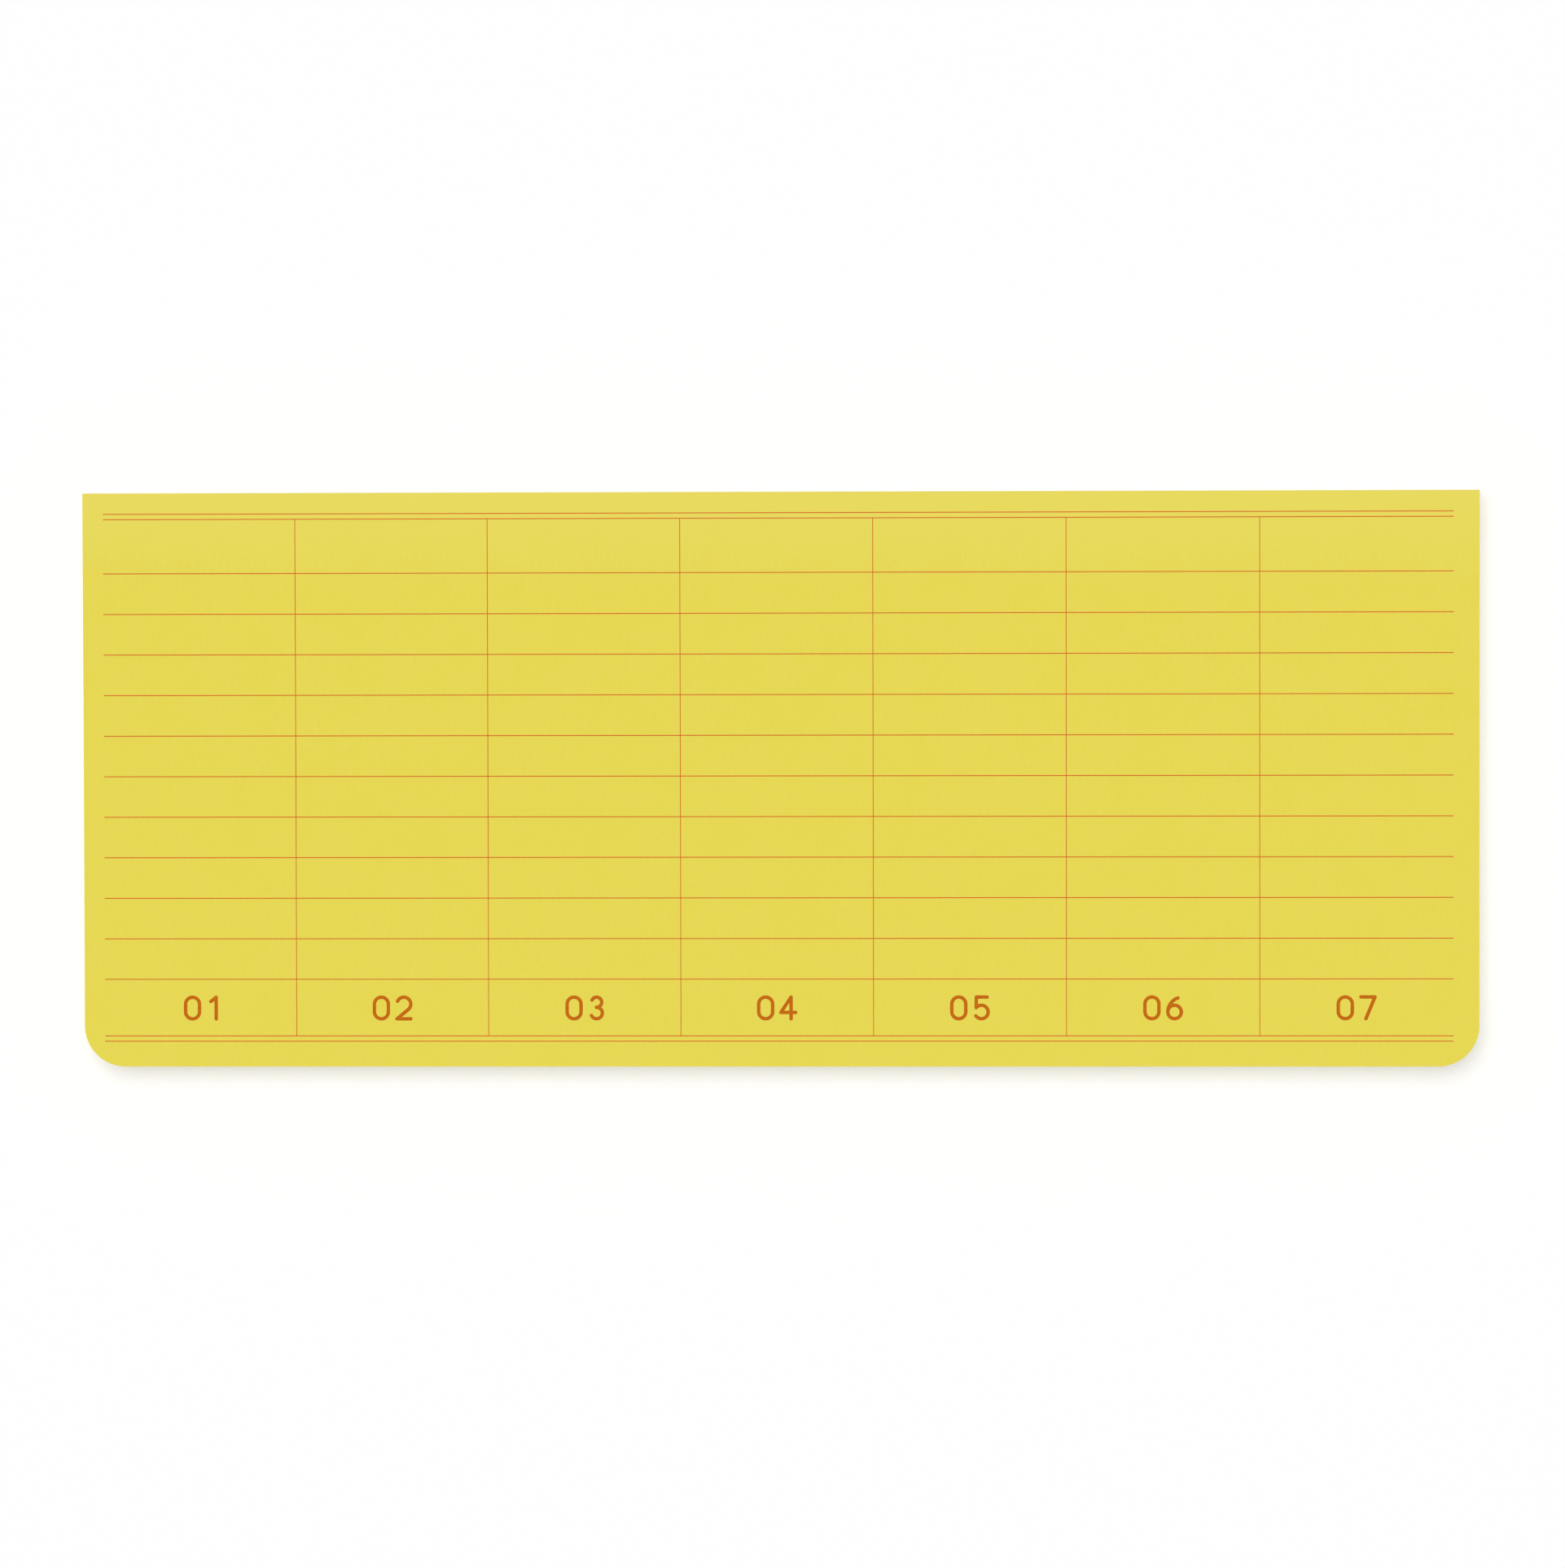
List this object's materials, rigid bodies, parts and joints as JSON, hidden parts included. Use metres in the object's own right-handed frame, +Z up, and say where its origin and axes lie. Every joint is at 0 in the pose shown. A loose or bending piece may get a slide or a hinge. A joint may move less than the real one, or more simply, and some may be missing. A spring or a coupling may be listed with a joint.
{
  "type": "sticky memo pad",
  "caption": "Wide, low pad of paper sheets glued along one long edge on a backing card, with a ruled table of columns and lines printed on the top sheet.",
  "frame": {"origin": "under the middle of the pad, on the surface that its card rests on", "axes": "+X along the long side, to the right of the printed page; +Y across the page to the glued edge, the head of the page; +Z up through the stack"},
  "size_m": [0.17, 0.07, 0.0038],
  "materials": {
    "card": "uncoated pale grey card",
    "adhesive": "thin low-tack adhesive film",
    "paper": "uncoated yellow writing paper",
    "ink": "flat orange printing ink"
  },
  "bodies": {
    "root": {"backing_card": "card", "adhesive_band": "adhesive", "sheet_stack": "paper", "printed_table": "ink", "printed_head_rule": "ink", "printed_foot_rule": "ink"}
  },
  "joints": []
}
